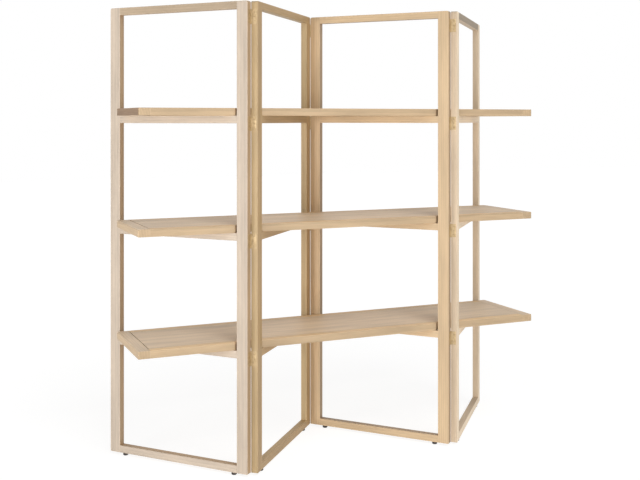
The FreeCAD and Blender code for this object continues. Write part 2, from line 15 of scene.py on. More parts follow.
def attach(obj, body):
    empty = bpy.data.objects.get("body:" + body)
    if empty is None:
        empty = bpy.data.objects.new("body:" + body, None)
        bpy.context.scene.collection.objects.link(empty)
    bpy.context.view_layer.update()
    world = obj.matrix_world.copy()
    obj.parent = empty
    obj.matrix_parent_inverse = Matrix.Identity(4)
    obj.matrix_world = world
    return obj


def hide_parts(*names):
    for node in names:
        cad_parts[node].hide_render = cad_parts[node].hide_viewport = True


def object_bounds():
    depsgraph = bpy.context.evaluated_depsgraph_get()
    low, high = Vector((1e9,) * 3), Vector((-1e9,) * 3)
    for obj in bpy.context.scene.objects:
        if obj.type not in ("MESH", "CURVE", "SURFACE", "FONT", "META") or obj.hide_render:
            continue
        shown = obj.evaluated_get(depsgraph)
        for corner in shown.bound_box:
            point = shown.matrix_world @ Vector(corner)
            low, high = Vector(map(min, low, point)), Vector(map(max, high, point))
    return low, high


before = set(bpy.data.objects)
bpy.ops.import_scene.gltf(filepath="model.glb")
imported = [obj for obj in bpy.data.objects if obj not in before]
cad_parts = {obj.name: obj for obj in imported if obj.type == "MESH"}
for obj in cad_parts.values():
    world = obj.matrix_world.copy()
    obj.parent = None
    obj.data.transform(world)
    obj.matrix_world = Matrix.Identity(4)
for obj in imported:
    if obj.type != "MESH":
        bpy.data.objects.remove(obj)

bl_info = {
    "name": "Folding Etagere",
    "version": (1, 0, 0),
    "blender": (4, 5, 0),
    "location": "View3D > Sidebar > Etagere",
    "description": "Finishes the boards and fittings of a folding etagere and sets up its stage",
    "category": "Object",
}

CAD_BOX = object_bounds()

# The photograph's frame, in pixels, and the row of its horizon.
IMAGE_WIDTH = 640
IMAGE_HEIGHT = 480
HORIZON_ROW = 119.86
# Width of the camera's sensor, in millimetres.
SENSOR_WIDTH = 36.0

# The frames stand in a zigzag, each turned this far from the shelves, and every second one the
# other way.
FRAME_TURN = math.radians(48.8)
FRAME_TURNS = {1: -FRAME_TURN, 2: FRAME_TURN, 3: -FRAME_TURN, 4: FRAME_TURN}

POSTS = ("left_post", "right_post")
RAILS = ("top_rail", "upper_shelf_rail", "middle_shelf_rail", "lower_shelf_rail", "bottom_rail")
SHELVES = ("bottom_shelf", "middle_shelf", "top_shelf")

UP = Vector((0, 0, 1))
ALONG_SHELF = Vector((1, 0, 0))
ACROSS_SHELF = Vector((0, 1, 0))

# Each shelf's borders, with the ways that their length and their width run.
BORDERS = {
    "front_border": (ALONG_SHELF, ACROSS_SHELF),
    "back_border": (ALONG_SHELF, ACROSS_SHELF),
    "left_end": (ACROSS_SHELF, ALONG_SHELF),
    "right_end": (ACROSS_SHELF, ALONG_SHELF),
}

# Sockets of the mix node that carry colours.
MIX_A = 6
MIX_B = 7
MIX_RESULT = 2

MM = 0.001

# Points closer than this are one point, on a CAD mesh and on a modelled one.
CAD_MERGE = 0.01 * MM
MERGE = 0.001 * MM

# The steps from one board's place in the log to the next one's: along it, across it, and down
# through its layers, which start again after the last.
CUT_ALONG = 0.731
CUT_ACROSS = 0.137
CUT_DEEPER = 0.019
CUT_LAYERS = 7
# Each kind of board is cut from its own part of the log. The posts come first.
RAIL_CUTS = 11
BORDER_CUTS = 40
PANEL_CUTS = 60
# What is added to every board's place to get its place from the log's pith.
FROM_PITH = (0.0, 0.03, 0.11)
# A wave pattern at scale 1 repeats after this distance, about 2 pi / 20.
WAVE_PERIOD = 0.314

# How squarely a surface faces a way when it starts to count as a wide face or an end, and when it
# fully counts.
FACE_STARTS, FACE_FULL = 0.55, 0.85
END_STARTS, END_FULL = 0.7, 0.95

# Roughness of the brass. Turning has rubbed the pins smoother than the leaves.
LEAF_ROUGHNESS = 0.5
PIN_ROUGHNESS = 0.4
SCREW_ROUGHNESS = 0.45


def srgb(code):
    """Turn a hex colour, as it looks on a screen, into the linear colour that a shader takes."""
    values = [int(code[i : i + 2], 16) / 255 for i in (1, 3, 5)]
    return [v / 12.92 if v <= 0.04045 else ((v + 0.055) / 1.055) ** 2.4 for v in values]


def with_alpha(colour):
    """A colour property as the four numbers of a colour socket."""
    return (*colour, 1.0)


def add_node(tree, kind, inputs, **settings):
    """Add a node with its settings, and fill or link each of its inputs."""
    made = tree.nodes.new(kind)
    for name, value in settings.items():
        setattr(made, name, value)
    for name, value in inputs.items():
        if isinstance(value, bpy.types.NodeSocket):
            tree.links.new(value, made.inputs[name])
        else:
            made.inputs[name].default_value = value
    return made


def new_material(name):
    """An empty material with its output, to which the shader is linked."""
    material = bpy.data.materials.new(name)
    material.use_nodes = True
    material.node_tree.nodes.clear()
    output = add_node(material.node_tree, "ShaderNodeOutputMaterial", {})
    return material, material.node_tree, output


def cells_per_metre(along, across, through):
    """The scale that makes a noise pattern's cells this long, wide and deep, in millimetres."""
    return (1 / (along * MM), 1 / (across * MM), 1 / (through * MM))


def board_turn(length, width):
    """The turn that lays a board's length on X and its width on Y."""
    thickness = length.cross(width)
    return Matrix((length, width, thickness)).to_euler("XYZ")


def lacquered_maple(name, board, tones, look, place):
    """Pale maple, planed and sanded, under a satin clear lacquer.

    It shows faint growth lines along the board, short fine fibres and flecks, slow paler and
    darker clouds, and paler edges, partly worn and partly a painted highlight on the arrises.
    The wide faces, the edges and the ends each have their own tone.
    """
    length, width = board
    face_tone, edge_tone, end_tone = tones
    material, tree, output = new_material(name)
    space = add_node(tree, "ShaderNodeTexCoord", {})
    on_board = add_node(
        tree,
        "ShaderNodeMapping",
        {
            "Vector": space.outputs["Object"],
            "Rotation": board_turn(length, width),
            "Location": place,
        },
    ).outputs["Vector"]

    # Growth lines: rings round a pith beside the board, drawn out along it.
    round_pith = add_node(
        tree,
        "ShaderNodeMapping",
        {"Vector": on_board, "Location": FROM_PITH, "Scale": (look.line_stretch, 1.0, 1.0)},
    ).outputs["Vector"]
    lines = add_node(
        tree,
        "ShaderNodeTexWave",
        {
            "Vector": round_pith,
            "Scale": WAVE_PERIOD / look.line_spacing,
            "Distortion": 7.0,
            "Detail": 2.0,
            "Detail Scale": 0.25,
        },
        wave_type="RINGS",
        rings_direction="X",
        wave_profile="SAW",
    ).outputs["Fac"]

    # Fibres are drawn about three times as coarse as they are, so that they show at all.
    fibre_cells = add_node(
        tree,
        "ShaderNodeMapping",
        {"Vector": on_board, "Scale": cells_per_metre(90, 1.4, 1.4)},
    ).outputs["Vector"]
    fibres = add_node(
        tree, "ShaderNodeTexNoise", {"Vector": fibre_cells, "Scale": 1.0, "Detail": 2.0}
    ).outputs["Fac"]

    # Flecks are short dashes at scattered points, and 1 is the middle of a fleck.
    fleck_cells = add_node(
        tree,
        "ShaderNodeMapping",
        {"Vector": on_board, "Scale": cells_per_metre(9, 1.6, 1.6)},
    ).outputs["Vector"]
    fleck_distance = add_node(
        tree, "ShaderNodeTexVoronoi", {"Vector": fleck_cells, "Scale": 1.0, "Randomness": 1.0}
    ).outputs["Distance"]
    flecks = add_node(
        tree,
        "ShaderNodeMapRange",
        {"Value": fleck_distance, "From Min": 0.08, "From Max": 0.26, "To Min": 1.0, "To Max": 0.0},
    ).outputs["Result"]

    # Clouds are slow changes of tone along the board.
    cloud_cells = add_node(
        tree,
        "ShaderNodeMapping",
        {"Vector": on_board, "Scale": cells_per_metre(300, 40, 40)},
    ).outputs["Vector"]
    clouds = add_node(
        tree, "ShaderNodeTexNoise", {"Vector": cloud_cells, "Scale": 1.0, "Detail": 3.0}
    ).outputs["Fac"]

    # Which way the surface faces on the board: its wide face, its edge or its end.
    on_face = add_node(
        tree,
        "ShaderNodeVectorMath",
        {0: space.outputs["Normal"], 1: length.cross(width)},
        operation="DOT_PRODUCT",
    ).outputs["Value"]
    face_amount = add_node(tree, "ShaderNodeMath", {0: on_face}, operation="ABSOLUTE").outputs[0]
    faceness = add_node(
        tree,
        "ShaderNodeMapRange",
        {"Value": face_amount, "From Min": FACE_STARTS, "From Max": FACE_FULL},
        interpolation_type="SMOOTHSTEP",
    ).outputs["Result"]
    on_end = add_node(
        tree,
        "ShaderNodeVectorMath",
        {0: space.outputs["Normal"], 1: length},
        operation="DOT_PRODUCT",
    ).outputs["Value"]
    end_amount = add_node(tree, "ShaderNodeMath", {0: on_end}, operation="ABSOLUTE").outputs[0]
    endness = add_node(
        tree,
        "ShaderNodeMapRange",
        {"Value": end_amount, "From Min": END_STARTS, "From Max": END_FULL},
    ).outputs["Result"]

    tone = add_node(
        tree,
        "ShaderNodeMix",
        {0: faceness, MIX_A: with_alpha(edge_tone), MIX_B: with_alpha(face_tone)},
        data_type="RGBA",
    ).outputs[MIX_RESULT]

    shade = add_node(
        tree,
        "ShaderNodeMix",
        {0: endness, MIX_A: tone, MIX_B: with_alpha(end_tone)},
        data_type="RGBA",
    ).outputs[MIX_RESULT]

    # Each pattern makes the tone a little lighter and a little darker, over the range of values
    # that it mostly takes.
    for pattern, low, high, depth in (
        (clouds, 0.32, 0.68, look.cloud_depth),
        (lines, 0.0, 1.0, look.line_depth),
        (fibres, 0.35, 0.65, look.fibre_depth),
        (flecks, 1.0, 0.0, look.fleck_depth),
    ):
        grey = add_node(
            tree,
            "ShaderNodeMapRange",
            {
                "Value": pattern,
                "From Min": low,
                "From Max": high,
                "To Min": 1.0 - depth / 2,
                "To Max": 1.0 + depth / 2,
            },
        ).outputs["Result"]
        shade = add_node(
            tree,
            "ShaderNodeMix",
            {0: 1.0, MIX_A: shade, MIX_B: grey},
            data_type="RGBA",
            blend_type="MULTIPLY",
        ).outputs[MIX_RESULT]

    # Paler edges, partly worn by hands and by folding and partly a painted highlight on the
    # rounded arrises: the rounded normal leaves the true one there.
    rounded = add_node(
        tree, "ShaderNodeBevel", {"Radius": look.rub_and_highlight_width}, samples=4
    ).outputs[0]
    flat_normal = add_node(tree, "ShaderNodeNewGeometry", {}).outputs["Normal"]
    agreement = add_node(
        tree, "ShaderNodeVectorMath", {0: rounded, 1: flat_normal}, operation="DOT_PRODUCT"
    ).outputs["Value"]
    rubbed_and_highlighted = add_node(
        tree,
        "ShaderNodeMapRange",
        {
            "Value": agreement,
            "From Min": 0.86,
            "From Max": 0.99,
            "To Min": look.rub_and_highlight,
            "To Max": 0.0,
        },
    ).outputs["Result"]
    colour = add_node(
        tree,
        "ShaderNodeMix",
        {0: rubbed_and_highlighted, MIX_A: shade, MIX_B: with_alpha(look.rubbed_and_highlighted_tone)},
        data_type="RGBA",
    ).outputs[MIX_RESULT]

    # The lacquer is a little duller or glossier along the fibres.
    duller, glossier = 0.07, 0.05
    roughness = add_node(
        tree,
        "ShaderNodeMapRange",
        {
            "Value": fibres,
            "From Min": 0.3,
            "From Max": 0.7,
            "To Min": look.roughness + duller,
            "To Max": look.roughness - glossier,
        },
    ).outputs["Result"]
    grain_height = add_node(
        tree, "ShaderNodeMath", {0: fibres, 1: flecks}, operation="SUBTRACT"
    ).outputs[0]
    bump = add_node(
        tree,
        "ShaderNodeBump",
        {"Height": grain_height, "Strength": 0.25, "Distance": 0.12 * MM},
    ).outputs["Normal"]
    shader = add_node(
        tree,
        "ShaderNodeBsdfPrincipled",
        {"Base Color": colour, "Roughness": roughness, "Normal": bump, "IOR": 1.5},
    )
    tree.links.new(shader.outputs[0], output.inputs["Surface"])
    return material


def satin_brass(name, colour, dull_colour, roughness):
    """Brass, rolled and tumbled, a little dulled.

    It shows a soft gloss, faint clouds and fine rubbing marks.
    """
    material, tree, output = new_material(name)
    space = add_node(tree, "ShaderNodeTexCoord", {})
    cloud_cells = add_node(
        tree,
        "ShaderNodeMapping",
        {"Vector": space.outputs["Object"], "Scale": cells_per_metre(9, 9, 14)},
    ).outputs["Vector"]
    clouds = add_node(
        tree, "ShaderNodeTexNoise", {"Vector": cloud_cells, "Scale": 1.0, "Detail": 4.0}
    ).outputs["Fac"]
    mark_cells = add_node(
        tree,
        "ShaderNodeMapping",
        {"Vector": space.outputs["Object"], "Scale": cells_per_metre(0.5, 0.5, 18)},
    ).outputs["Vector"]
    marks = add_node(
        tree, "ShaderNodeTexNoise", {"Vector": mark_cells, "Scale": 1.0, "Detail": 1.0}
    ).outputs["Fac"]
    dullness = add_node(
        tree, "ShaderNodeMapRange", {"Value": clouds, "From Min": 0.4, "From Max": 0.7}
    ).outputs["Result"]
    metal = add_node(
        tree,
        "ShaderNodeMix",
        {0: dullness, MIX_A: with_alpha(colour), MIX_B: with_alpha(dull_colour)},
        data_type="RGBA",
    ).outputs[MIX_RESULT]
    # Where the brass has dulled it is rougher too.
    duller = 0.16
    gloss = add_node(
        tree,
        "ShaderNodeMapRange",
        {
            "Value": clouds,
            "From Min": 0.3,
            "From Max": 0.7,
            "To Min": roughness,
            "To Max": roughness + duller,
        },
    ).outputs["Result"]
    bump = add_node(
        tree, "ShaderNodeBump", {"Height": marks, "Strength": 0.2, "Distance": 0.03 * MM}
    ).outputs["Normal"]
    shader = add_node(
        tree,
        "ShaderNodeBsdfPrincipled",
        {"Base Color": metal, "Metallic": 1.0, "Roughness": gloss, "Normal": bump},
    )
    tree.links.new(shader.outputs[0], output.inputs["Surface"])
    return material


def moulded_nylon(name, colour):
    """Nylon, moulded dark brown: dull, with a fine pebbled skin and scuffs from the floor."""
    material, tree, output = new_material(name)
    space = add_node(tree, "ShaderNodeTexCoord", {})
    pebbles = add_node(
        tree,
        "ShaderNodeTexNoise",
        {"Vector": space.outputs["Object"], "Scale": 1 / (0.8 * MM), "Detail": 2.0},
    ).outputs["Fac"]
    scuffs = add_node(
        tree,
        "ShaderNodeTexNoise",
        {"Vector": space.outputs["Object"], "Scale": 1 / (6 * MM), "Detail": 3.0},
    ).outputs["Fac"]
    scuffed = add_node(
        tree,
        "ShaderNodeMapRange",
        {"Value": scuffs, "From Min": 0.55, "From Max": 0.8, "To Max": 0.5},
    ).outputs["Result"]
    # Scuffs go halfway to a tone this many times as bright.
    scuff_gain = 4
    scuff_tone = [scuff_gain * channel for channel in colour]
    skin = add_node(
        tree,
        "ShaderNodeMix",
        {0: scuffed, MIX_A: with_alpha(colour), MIX_B: with_alpha(scuff_tone)},
        data_type="RGBA",
    ).outputs[MIX_RESULT]
    roughness = add_node(
        tree, "ShaderNodeMapRange", {"Value": scuffs, "To Min": 0.45, "To Max": 0.75}
    ).outputs["Result"]
    bump = add_node(
        tree, "ShaderNodeBump", {"Height": pebbles, "Strength": 0.3, "Distance": 0.1 * MM}
    ).outputs["Normal"]
    shader = add_node(
        tree,
        "ShaderNodeBsdfPrincipled",
        {"Base Color": skin, "Roughness": roughness, "Normal": bump, "IOR": 1.53},
    )
    tree.links.new(shader.outputs[0], output.inputs["Surface"])
    return material


def dress(node, material):
    """Put one material on every slot of a CAD node."""
    mesh_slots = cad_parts[node].material_slots
    if not mesh_slots:
        raise RuntimeError(f"{node} has no material slot")
    for mesh_slot in mesh_slots:
        mesh_slot.material = material


def place_in_log(number):
    """Where a board was cut from its log, so that no two boards show the same grain."""
    return Vector((CUT_ALONG * number, CUT_ACROSS * number, CUT_DEEPER * (number % CUT_LAYERS)))


def frame_direction(number):
    """The way that a frame's width runs, from its left post to its right one."""
    turn = FRAME_TURNS[number]
    return Vector((math.cos(turn), math.sin(turn), 0))


def frame_tones(look, number):
    """The tones of a frame's wide faces, edges and ends."""
    face = getattr(look, f"frame_{number}_face")
    edge = getattr(look, f"frame_{number}_edge")
    end = [(1 - look.end_depth) * channel for channel in edge]
    return face, edge, end


class EtagereWood(bpy.types.PropertyGroup):
    """Tones and grain of the lacquered maple."""

    # The first frame's wide faces have a pale greyish tone, partly the maple's own and partly a
    # painted whitish sheen of the lacquer.
    frame_1_face: bpy.props.FloatVectorProperty(
        name="Frame 1 face",
        description="Tone of the wide faces of the first frame from the left",
        subtype="COLOR",
        default=srgb("#BEAE9C"),
    )
    frame_1_edge: bpy.props.FloatVectorProperty(
        name="Frame 1 edge",
        description="Tone of the edges of the first frame",
        subtype="COLOR",
        default=srgb("#B09575"),
    )
    frame_2_face: bpy.props.FloatVectorProperty(
        name="Frame 2 face",
        description="Tone of the wide faces of the second frame",
        subtype="COLOR",
        default=srgb("#AF9269"),
    )
    frame_2_edge: bpy.props.FloatVectorProperty(
        name="Frame 2 edge",
        description="Tone of the edges of the second frame",
        subtype="COLOR",
        default=srgb("#B49B73"),
    )
    frame_3_face: bpy.props.FloatVectorProperty(
        name="Frame 3 face",
        description="Tone of the wide faces of the third frame",
        subtype="COLOR",
        default=srgb("#CAAF8B"),
    )
    frame_3_edge: bpy.props.FloatVectorProperty(
        name="Frame 3 edge",
        description="Tone of the edges of the third frame",
        subtype="COLOR",
        default=srgb("#A68E72"),
    )
    frame_4_face: bpy.props.FloatVectorProperty(
        name="Frame 4 face",
        description="Tone of the wide faces of the fourth frame",
        subtype="COLOR",
        default=srgb("#ECD7B9"),
    )
    frame_4_edge: bpy.props.FloatVectorProperty(
        name="Frame 4 edge",
        description="Tone of the edges of the fourth frame",
        subtype="COLOR",
        default=srgb("#CEB99E"),
    )
    # The shelves' face tone is their own tone made lighter as painted light, standing in for light
    # that their tops lack.
    shelf_face_and_painted_light: bpy.props.FloatVectorProperty(
        name="Shelf face",
        description="Tone of the shelves' upper and lower faces",
        subtype="COLOR",
        default=srgb("#DEC8AC"),
    )
    shelf_edge: bpy.props.FloatVectorProperty(
        name="Shelf edge",
        description="Tone of the shelves' front, back and end edges",
        subtype="COLOR",
        default=srgb("#BDA381"),
    )
    # The long borders' face tone is made from the shelves' face tone, so it carries the same
    # painted light on the tops.
    border_face_and_painted_light: bpy.props.FloatVectorProperty(
        name="Border face",
        description="Tone of the upper and lower faces of the shelves' long borders",
        subtype="COLOR",
        default=srgb("#E6C79A"),
    )
    # Painted shade: the top shelf's left end is darker than the other shelves' ends, because shade
    # falls on it.
    painted_shade_end: bpy.props.FloatVectorProperty(
        name="Dark end",
        description="Tone of the top shelf's left end, cut from darker wood",
        subtype="COLOR",
        default=srgb("#826547"),
    )
    # Painted shade: the first and fourth frames' top rails are darker, as the light falls off near
    # the top.
    frame_1_top_rail: bpy.props.FloatVectorProperty(
        name="Frame 1 top rail",
        description="Tone of the first frame's top rail, a little darker than its posts",
        subtype="COLOR",
        default=srgb("#AA967D"),
    )
    frame_4_top_rail: bpy.props.FloatVectorProperty(
        name="Frame 4 top rail",
        description="Tone of the fourth frame's top rail, darker than its posts",
        subtype="COLOR",
        default=srgb("#8E7D66"),
    )
    # A paler tone for the edges, partly wear and partly a painted highlight on the arrises.
    rubbed_and_highlighted_tone: bpy.props.FloatVectorProperty(
        name="Rubbed tone",
        description="Tone of the wood where its edges are rubbed",
        subtype="COLOR",
        default=srgb("#E6D3B5"),
    )
    line_spacing: bpy.props.FloatProperty(
        name="Growth line spacing",
        description="Distance between the wood's growth lines",
        subtype="DISTANCE",
        unit="LENGTH",
        default=0.011,
    )
    line_stretch: bpy.props.FloatProperty(
        name="Growth line stretch",
        description="How far the growth lines are drawn out along a board, where 1 is not at all",
        default=0.05,
        min=0.01,
        max=1.0,
    )
    line_depth: bpy.props.FloatProperty(
        name="Growth line depth",
        description="How far the growth lines darken and lighten the wood",
        subtype="FACTOR",
        default=0.14,
        min=0.0,
        max=1.0,
    )
    cloud_depth: bpy.props.FloatProperty(
        name="Cloud depth",
        description="How far the slow clouds along a board darken and lighten the wood",
        subtype="FACTOR",
        default=0.2,
        min=0.0,
        max=1.0,
    )
    fibre_depth: bpy.props.FloatProperty(
        name="Fibre depth",
        description="How far the fine fibres darken and lighten the wood",
        subtype="FACTOR",
        default=0.1,
        min=0.0,
        max=1.0,
    )
    fleck_depth: bpy.props.FloatProperty(
        name="Fleck depth",
        description="How far the short flecks darken and lighten the wood",
        subtype="FACTOR",
        default=0.1,
        min=0.0,
        max=1.0,
    )
    end_depth: bpy.props.FloatProperty(
        name="End grain depth",
        description="How much darker the end grain of the frames' boards is than their edges",
        subtype="FACTOR",
        default=0.22,
        min=0.0,
        max=1.0,
    )
    # How far and how wide the edges turn paler, partly wear and partly painted highlight.
    rub_and_highlight: bpy.props.FloatProperty(
        name="Edge wear",
        description="How far the rubbed edges go to their paler tone",
        subtype="FACTOR",
        default=0.35,
        min=0.0,
        max=1.0,
    )
    rub_and_highlight_width: bpy.props.FloatProperty(
        name="Edge wear width",
        description="How far from an edge the wood is rubbed",
        subtype="DISTANCE",
        unit="LENGTH",
        default=0.002,
    )
    roughness: bpy.props.FloatProperty(
        name="Lacquer roughness",
        description="How dull the satin lacquer is",
        subtype="FACTOR",
        default=0.52,
        min=0.0,
        max=1.0,
    )


class EtagereFittings(bpy.types.PropertyGroup):
    """Colours of the hinges, screws and glides, and the screws' sizes."""

    brass: bpy.props.FloatVectorProperty(
        name="Brass",
        description="Colour of the hinges' brass where it is clean",
        subtype="COLOR",
        default=srgb("#C4AE8A"),
    )
    dull_brass: bpy.props.FloatVectorProperty(
        name="Dull brass",
        description="Colour of the hinges' brass where it has dulled",
        subtype="COLOR",
        default=srgb("#B29C79"),
    )
    glide: bpy.props.FloatVectorProperty(
        name="Glide",
        description="Colour of the moulded glides under the frames",
        subtype="COLOR",
        default=srgb("#2E2622"),
    )
    head_radius: bpy.props.FloatProperty(
        name="Screw head radius",
        description="Radius of a hinge screw's flat head",
        subtype="DISTANCE",
        unit="LENGTH",
        default=0.0034,
    )
    head_depth: bpy.props.FloatProperty(
        name="Screw head depth",
        description="How deep the head's countersunk cone is",
        subtype="DISTANCE",
        unit="LENGTH",
        default=0.0018,
    )
    thread_radius: bpy.props.FloatProperty(
        name="Screw thread radius",
        description="Radius over the crests of a hinge screw's thread",
        subtype="DISTANCE",
        unit="LENGTH",
        default=0.0017,
    )
    screw_length: bpy.props.FloatProperty(
        name="Screw length",
        description="Length of a hinge screw from its flat top to its tip",
        subtype="DISTANCE",
        unit="LENGTH",
        default=0.018,
    )
    recess_width: bpy.props.FloatProperty(
        name="Recess width",
        description="Width of each arm of the cross in a screw's head",
        subtype="DISTANCE",
        unit="LENGTH",
        default=0.0009,
    )
    recess_reach: bpy.props.FloatProperty(
        name="Recess reach",
        description="How far each arm of the cross reaches from the head's middle",
        subtype="DISTANCE",
        unit="LENGTH",
        default=0.0021,
    )
    recess_depth: bpy.props.FloatProperty(
        name="Recess depth",
        description="Depth of the cross in a screw's head",
        subtype="DISTANCE",
        unit="LENGTH",
        default=0.0012,
    )


class EtagereStage(bpy.types.PropertyGroup):
    """Camera, lamps and backdrop."""

    focal_length: bpy.props.FloatProperty(
        name="Focal length",
        description="The camera's focal length on a sensor 36 mm wide",
        subtype="DISTANCE_CAMERA",
        default=54.63,
    )
    camera_place: bpy.props.FloatVectorProperty(
        name="Camera place",
        description="Where the camera stands",
        subtype="TRANSLATION",
        unit="LENGTH",
        default=(-1.8357, -4.0812, 1.4843),
    )
    camera_turn: bpy.props.FloatProperty(
        name="Camera turn",
        description="How far the camera is turned to the right of straight ahead",
        subtype="ANGLE",
        unit="ROTATION",
        default=math.radians(23.53),
    )
    room_level: bpy.props.FloatProperty(
        name="Room level",
        description="Strength of the even light from all sides",
        default=0.3,
        min=0.0,
    )
    softbox_place: bpy.props.FloatVectorProperty(
        name="Softbox place",
        description="Where the main softbox stands",
        subtype="TRANSLATION",
        unit="LENGTH",
        default=(-3.0, -5.6, 1.0),
    )
    softbox_power: bpy.props.FloatProperty(
        name="Softbox power",
        description="Power of the main softbox",
        unit="POWER",
        default=60.0,
    )
    softbox_size: bpy.props.FloatProperty(
        name="Softbox size",
        description="Side of each of the three lower softboxes",
        subtype="DISTANCE",
        unit="LENGTH",
        default=1.9,
    )
    side_place: bpy.props.FloatVectorProperty(
        name="Side softbox place",
        description="Where the softbox at the left stands, whose sheen the first frame shows",
        subtype="TRANSLATION",
        unit="LENGTH",
        default=(-4.2, -1.4, 0.9),
    )
    side_power: bpy.props.FloatProperty(
        name="Side softbox power",
        description="Power of the softbox at the left",
        unit="POWER",
        default=68.0,
    )
    fill_place: bpy.props.FloatVectorProperty(
        name="Fill softbox place",
        description="Where the softbox in front to the right stands",
        subtype="TRANSLATION",
        unit="LENGTH",
        default=(1.5, -6.0, 1.2),
    )
    fill_power: bpy.props.FloatProperty(
        name="Fill softbox power",
        description="Power of the softbox in front to the right",
        unit="POWER",
        default=60.0,
    )
    overhead_place: bpy.props.FloatVectorProperty(
        name="Overhead softbox place",
        description="Where the large softbox high in front stands, which lights the shelves' tops",
        subtype="TRANSLATION",
        unit="LENGTH",
        default=(0.5, -7.0, 10.0),
    )
    overhead_power: bpy.props.FloatProperty(
        name="Overhead softbox power",
        description="Power of the softbox high in front",
        unit="POWER",
        default=420.0,
    )
    overhead_size: bpy.props.FloatProperty(
        name="Overhead softbox size",
        description="Side of the softbox high in front",
        subtype="DISTANCE",
        unit="LENGTH",
        default=5.0,
    )
    floor_glow: bpy.props.FloatProperty(
        name="Floor glow",
        description="How far the floor lights the object from below, like a lit studio floor",
        subtype="FACTOR",
        default=0.336,
        min=0.0,
        max=1.0,
    )
    floor_size: bpy.props.FloatProperty(
        name="Floor size",
        description="Side of the square floor",
        subtype="DISTANCE",
        unit="LENGTH",
        default=40.0,
    )


class ETAGERE_OT_finish_posts(bpy.types.Operator):
    """Give the eight posts lacquered maple with its grain upright"""

    bl_idname = "etagere.finish_posts"
    bl_label = "Finish Posts"

    def execute(self, context):
        look = context.scene.etagere_wood
        for number in FRAME_TURNS:
            board = (UP, frame_direction(number))
            tones = frame_tones(look, number)
            for order, post in enumerate(POSTS):
                node = f"frame_{number}_{post}"
                place = place_in_log(len(POSTS) * number + order)
                material = lacquered_maple(f"lacquered_maple_{node}", board, tones, look, place)
                dress(node, material)
        return {"FINISHED"}


class ETAGERE_OT_finish_rails(bpy.types.Operator):
    """Give the top, bottom and shelf rails lacquered maple with its grain along them"""

    bl_idname = "etagere.finish_rails"
    bl_label = "Finish Rails"

    def execute(self, context):
        look = context.scene.etagere_wood
        for number in FRAME_TURNS:
            board = (frame_direction(number), UP)
            face, edge, end = frame_tones(look, number)
            for order, rail in enumerate(RAILS):
                node = f"frame_{number}_{rail}"
                place = place_in_log(RAIL_CUTS + len(RAILS) * number + order)
                # Two of the top rails have a darker tone, under their node's name: painted shade,
                # as the light falls off near the top.
                tones = (getattr(look, node, face), edge, end)
                material = lacquered_maple(f"lacquered_maple_{node}", board, tones, look, place)
                dress(node, material)
        return {"FINISHED"}


class ETAGERE_OT_finish_shelf_borders(bpy.types.Operator):
    """Give the shelves' borders lacquered maple with its grain along each border"""

    bl_idname = "etagere.finish_shelf_borders"
    bl_label = "Finish Shelf Borders"

    def execute(self, context):
        look = context.scene.etagere_wood
        for number, shelf in enumerate(SHELVES):
            for order, (border, board) in enumerate(BORDERS.items()):
                node = f"{shelf}_{border}"
                place = place_in_log(BORDER_CUTS + len(BORDERS) * number + order)
                # The shelves' face tones carry painted light for the tops.
                face = look.border_face_and_painted_light if border.endswith("_border") else look.shelf_face_and_painted_light
                # The top shelf's left end takes a darker tone here, which is painted shade.
                edge = look.painted_shade_end if node == "top_shelf_left_end" else look.shelf_edge
                tones = (face, edge, look.shelf_edge)
                material = lacquered_maple(f"lacquered_maple_{node}", board, tones, look, place)
                dress(node, material)
        return {"FINISHED"}


class ETAGERE_OT_finish_shelf_panels(bpy.types.Operator):
    """Give the shelves' inner panels lacquered maple with its grain along the shelf"""

    bl_idname = "etagere.finish_shelf_panels"
    bl_label = "Finish Shelf Panels"

    def execute(self, context):
        look = context.scene.etagere_wood
        for number, shelf in enumerate(SHELVES):
            node = f"{shelf}_panel"
            material = lacquered_maple(
                f"lacquered_maple_{node}",
                (ALONG_SHELF, ACROSS_SHELF),
                (look.shelf_face_and_painted_light, look.shelf_edge, look.shelf_edge),
                look,
                place_in_log(PANEL_CUTS + number),
            )
            dress(node, material)
        return {"FINISHED"}


class ETAGERE_OT_finish_hinges(bpy.types.Operator):
    """Give the hinges' leaves and pins satin brass"""

    bl_idname = "etagere.finish_hinges"
    bl_label = "Finish Hinges"

    def execute(self, context):
        fittings = context.scene.etagere_fittings
        tones = (fittings.brass, fittings.dull_brass)
        leaves = satin_brass("satin_brass_leaves", *tones, LEAF_ROUGHNESS)
        pins = satin_brass("satin_brass_pins", *tones, PIN_ROUGHNESS)
        for line in ("left", "centre", "right"):
            dress(f"{line}_hinge_left_leaves", leaves)
            dress(f"{line}_hinge_right_leaves", leaves)
            dress(f"{line}_hinge_pins", pins)
        return {"FINISHED"}


